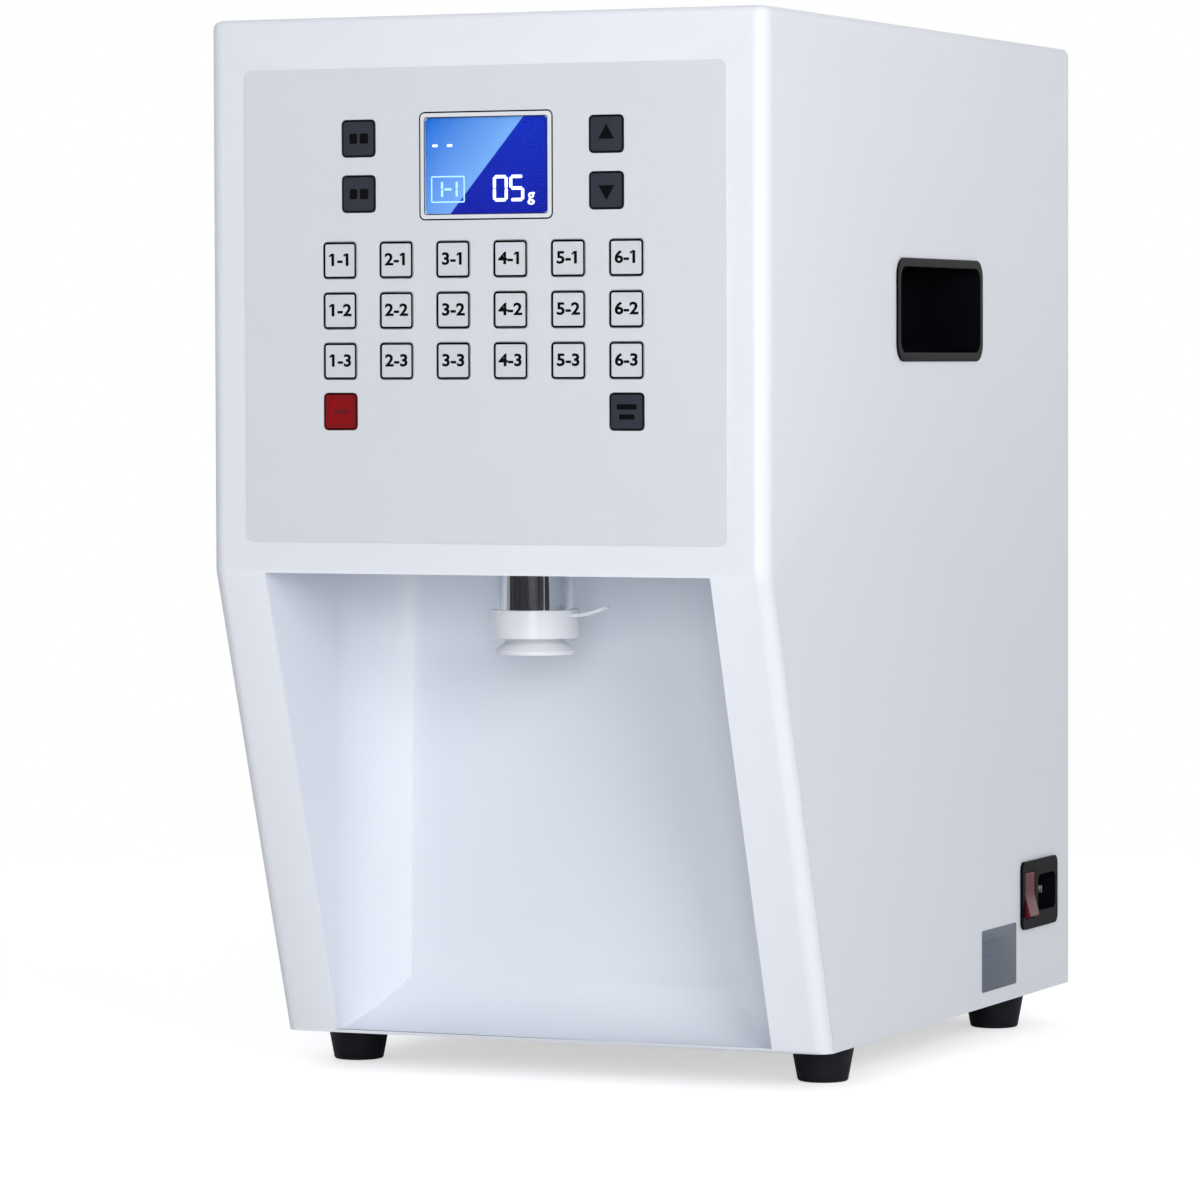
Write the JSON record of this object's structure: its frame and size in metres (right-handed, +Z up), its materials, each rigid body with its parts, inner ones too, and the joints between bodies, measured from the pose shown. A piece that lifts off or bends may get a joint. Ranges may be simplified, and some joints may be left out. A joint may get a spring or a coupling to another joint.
{
  "type": "auger powder filler",
  "caption": "White tabletop powder dispenser: an auger under a lidded hopper doses powder from a spout into a cup bay, with a keypad and display on the front.",
  "frame": {"origin": "on the table, under the middle of the machine", "axes": "+Z up; the front with the keypad and cup bay faces -Y; the side with the power socket faces +X"},
  "size_m": [0.265, 0.3918, 0.462],
  "materials": {
    "white_paint": "smooth satin powder coat",
    "bay_paint": "smooth satin powder coat",
    "zinc_sheet": "bare galvanised sheet",
    "hinge_steel": "plain steel",
    "silicone_foam": "soft matt foam",
    "overlay_film": "fine-textured film",
    "white_plastic": "smooth moulded",
    "clear_window": "clear flat window",
    "lcd_blue": "lit blue screen",
    "board_green": "solder mask",
    "black_plastic": "smooth moulded",
    "key_white": "fine-textured film",
    "key_dark": "fine-textured film",
    "key_red": "fine-textured film",
    "rocker_red": "tinted, lit from inside",
    "stainless": "brushed",
    "chrome": "polished",
    "nylon": "natural white",
    "motor_steel": "plated can",
    "rubber_black": "moulded",
    "screw_steel": "plated"
  },
  "bodies": {
    "cabinet": {"cabinet_front": "white_paint", "cabinet_sides": "white_paint", "cabinet_top": "white_paint", "lid_frame": "white_paint", "rear_cover": "white_paint", "bay_liner": "bay_paint", "base_plate": "zinc_sheet", "motor_bracket": "zinc_sheet", "power_supply": "zinc_sheet", "cabinet_hinge_leaf": "hinge_steel", "keypad_overlay": "overlay_film", "display_bezel": "white_plastic", "outlet_nozzle": "white_plastic", "display_window": "clear_window", "lcd_module": "lcd_blue", "control_board": "board_green", "right_grip": "black_plastic", "left_grip": "black_plastic", "power_unit": "black_plastic", "cup_sensor": "black_plastic", "hopper": "stainless", "agitator_axle": "stainless", "auger_tube": "stainless", "outlet_tube": "chrome", "shaft_seal": "nylon", "gear_motor": "motor_steel", "rubber_feet": "rubber_black", "case_screws": "screw_steel"},
    "lid": {"top_lid": "white_paint", "lid_seal": "silicone_foam", "lid_hinge_leaf": "hinge_steel"},
    "auger_set": {"auger": "stainless", "drive_coupling": "stainless"},
    "agitator": {"agitator_wheel": "nylon"},
    "collar": {"outlet_collar": "white_plastic"},
    "rocker": {"power_rocker": "rocker_red"},
    "button_1_1": {"key_1_1": "key_white"},
    "button_2_1": {"key_2_1": "key_white"},
    "button_3_1": {"key_3_1": "key_white"},
    "button_4_1": {"key_4_1": "key_white"},
    "button_5_1": {"key_5_1": "key_white"},
    "button_6_1": {"key_6_1": "key_white"},
    "button_1_2": {"key_1_2": "key_white"},
    "button_2_2": {"key_2_2": "key_white"},
    "button_3_2": {"key_3_2": "key_white"},
    "button_4_2": {"key_4_2": "key_white"},
    "button_5_2": {"key_5_2": "key_white"},
    "button_6_2": {"key_6_2": "key_white"},
    "button_1_3": {"key_1_3": "key_white"},
    "button_2_3": {"key_2_3": "key_white"},
    "button_3_3": {"key_3_3": "key_white"},
    "button_4_3": {"key_4_3": "key_white"},
    "button_5_3": {"key_5_3": "key_white"},
    "button_6_3": {"key_6_3": "key_white"},
    "button_stop": {"key_stop": "key_red"},
    "button_menu": {"key_menu": "key_dark"},
    "button_mode": {"key_mode": "key_dark"},
    "button_set": {"key_set": "key_dark"},
    "button_up": {"key_up": "key_dark"},
    "button_down": {"key_down": "key_dark"}
  },
  "joints": [
    {"name": "lid_hinge", "type": "hinge", "parent": "cabinet", "child": "lid", "pos_m": [0, 0.154, 0.4595], "axis": [-1, 0, 0], "range_deg": [0, 100]},
    {"name": "auger_spin", "type": "hinge", "parent": "cabinet", "child": "auger_set", "pos_m": [0, 0, 0.25], "axis": [0, 1, 0], "continuous": true},
    {"name": "agitator_spin", "type": "hinge", "parent": "cabinet", "child": "agitator", "pos_m": [0, -0.01, 0.3065], "axis": [-1, 0, 0], "continuous": true},
    {"name": "collar_turn", "type": "hinge", "parent": "cabinet", "child": "collar", "pos_m": [0, -0.1411, 0.199], "axis": [0, 0, -1], "range_deg": [0, 45]},
    {"name": "rocker_tilt", "type": "hinge", "parent": "cabinet", "child": "rocker", "pos_m": [0.1295, 0.135, 0.063], "axis": [0, 1, 0], "range_deg": [0, 14]},
    {"name": "button_1_1_press", "type": "slide", "parent": "cabinet", "child": "button_1_1", "axis": [0, 1, 0], "range_m": [0, 0.0005], "stiffness_N_per_m": 400, "springref_m": -0.001},
    {"name": "button_2_1_press", "type": "slide", "parent": "cabinet", "child": "button_2_1", "axis": [0, 1, 0], "range_m": [0, 0.0005], "stiffness_N_per_m": 400, "springref_m": -0.001},
    {"name": "button_3_1_press", "type": "slide", "parent": "cabinet", "child": "button_3_1", "axis": [0, 1, 0], "range_m": [0, 0.0005], "stiffness_N_per_m": 400, "springref_m": -0.001},
    {"name": "button_4_1_press", "type": "slide", "parent": "cabinet", "child": "button_4_1", "axis": [0, 1, 0], "range_m": [0, 0.0005], "stiffness_N_per_m": 400, "springref_m": -0.001},
    {"name": "button_5_1_press", "type": "slide", "parent": "cabinet", "child": "button_5_1", "axis": [0, 1, 0], "range_m": [0, 0.0005], "stiffness_N_per_m": 400, "springref_m": -0.001},
    {"name": "button_6_1_press", "type": "slide", "parent": "cabinet", "child": "button_6_1", "axis": [0, 1, 0], "range_m": [0, 0.0005], "stiffness_N_per_m": 400, "springref_m": -0.001},
    {"name": "button_1_2_press", "type": "slide", "parent": "cabinet", "child": "button_1_2", "axis": [0, 1, 0], "range_m": [0, 0.0005], "stiffness_N_per_m": 400, "springref_m": -0.001},
    {"name": "button_2_2_press", "type": "slide", "parent": "cabinet", "child": "button_2_2", "axis": [0, 1, 0], "range_m": [0, 0.0005], "stiffness_N_per_m": 400, "springref_m": -0.001},
    {"name": "button_3_2_press", "type": "slide", "parent": "cabinet", "child": "button_3_2", "axis": [0, 1, 0], "range_m": [0, 0.0005], "stiffness_N_per_m": 400, "springref_m": -0.001},
    {"name": "button_4_2_press", "type": "slide", "parent": "cabinet", "child": "button_4_2", "axis": [0, 1, 0], "range_m": [0, 0.0005], "stiffness_N_per_m": 400, "springref_m": -0.001},
    {"name": "button_5_2_press", "type": "slide", "parent": "cabinet", "child": "button_5_2", "axis": [0, 1, 0], "range_m": [0, 0.0005], "stiffness_N_per_m": 400, "springref_m": -0.001},
    {"name": "button_6_2_press", "type": "slide", "parent": "cabinet", "child": "button_6_2", "axis": [0, 1, 0], "range_m": [0, 0.0005], "stiffness_N_per_m": 400, "springref_m": -0.001},
    {"name": "button_1_3_press", "type": "slide", "parent": "cabinet", "child": "button_1_3", "axis": [0, 1, 0], "range_m": [0, 0.0005], "stiffness_N_per_m": 400, "springref_m": -0.001},
    {"name": "button_2_3_press", "type": "slide", "parent": "cabinet", "child": "button_2_3", "axis": [0, 1, 0], "range_m": [0, 0.0005], "stiffness_N_per_m": 400, "springref_m": -0.001},
    {"name": "button_3_3_press", "type": "slide", "parent": "cabinet", "child": "button_3_3", "axis": [0, 1, 0], "range_m": [0, 0.0005], "stiffness_N_per_m": 400, "springref_m": -0.001},
    {"name": "button_4_3_press", "type": "slide", "parent": "cabinet", "child": "button_4_3", "axis": [0, 1, 0], "range_m": [0, 0.0005], "stiffness_N_per_m": 400, "springref_m": -0.001},
    {"name": "button_5_3_press", "type": "slide", "parent": "cabinet", "child": "button_5_3", "axis": [0, 1, 0], "range_m": [0, 0.0005], "stiffness_N_per_m": 400, "springref_m": -0.001},
    {"name": "button_6_3_press", "type": "slide", "parent": "cabinet", "child": "button_6_3", "axis": [0, 1, 0], "range_m": [0, 0.0005], "stiffness_N_per_m": 400, "springref_m": -0.001},
    {"name": "button_stop_press", "type": "slide", "parent": "cabinet", "child": "button_stop", "axis": [0, 1, 0], "range_m": [0, 0.0005], "stiffness_N_per_m": 400, "springref_m": -0.001},
    {"name": "button_menu_press", "type": "slide", "parent": "cabinet", "child": "button_menu", "axis": [0, 1, 0], "range_m": [0, 0.0005], "stiffness_N_per_m": 400, "springref_m": -0.001},
    {"name": "button_mode_press", "type": "slide", "parent": "cabinet", "child": "button_mode", "axis": [0, 1, 0], "range_m": [0, 0.0005], "stiffness_N_per_m": 400, "springref_m": -0.001},
    {"name": "button_set_press", "type": "slide", "parent": "cabinet", "child": "button_set", "axis": [0, 1, 0], "range_m": [0, 0.0005], "stiffness_N_per_m": 400, "springref_m": -0.001},
    {"name": "button_up_press", "type": "slide", "parent": "cabinet", "child": "button_up", "axis": [0, 1, 0], "range_m": [0, 0.0005], "stiffness_N_per_m": 400, "springref_m": -0.001},
    {"name": "button_down_press", "type": "slide", "parent": "cabinet", "child": "button_down", "axis": [0, 1, 0], "range_m": [0, 0.0005], "stiffness_N_per_m": 400, "springref_m": -0.001}
  ],
  "couplings": [
    {"joint": "agitator_spin", "follows": "auger_spin", "ratio": 0.083333}
  ]
}
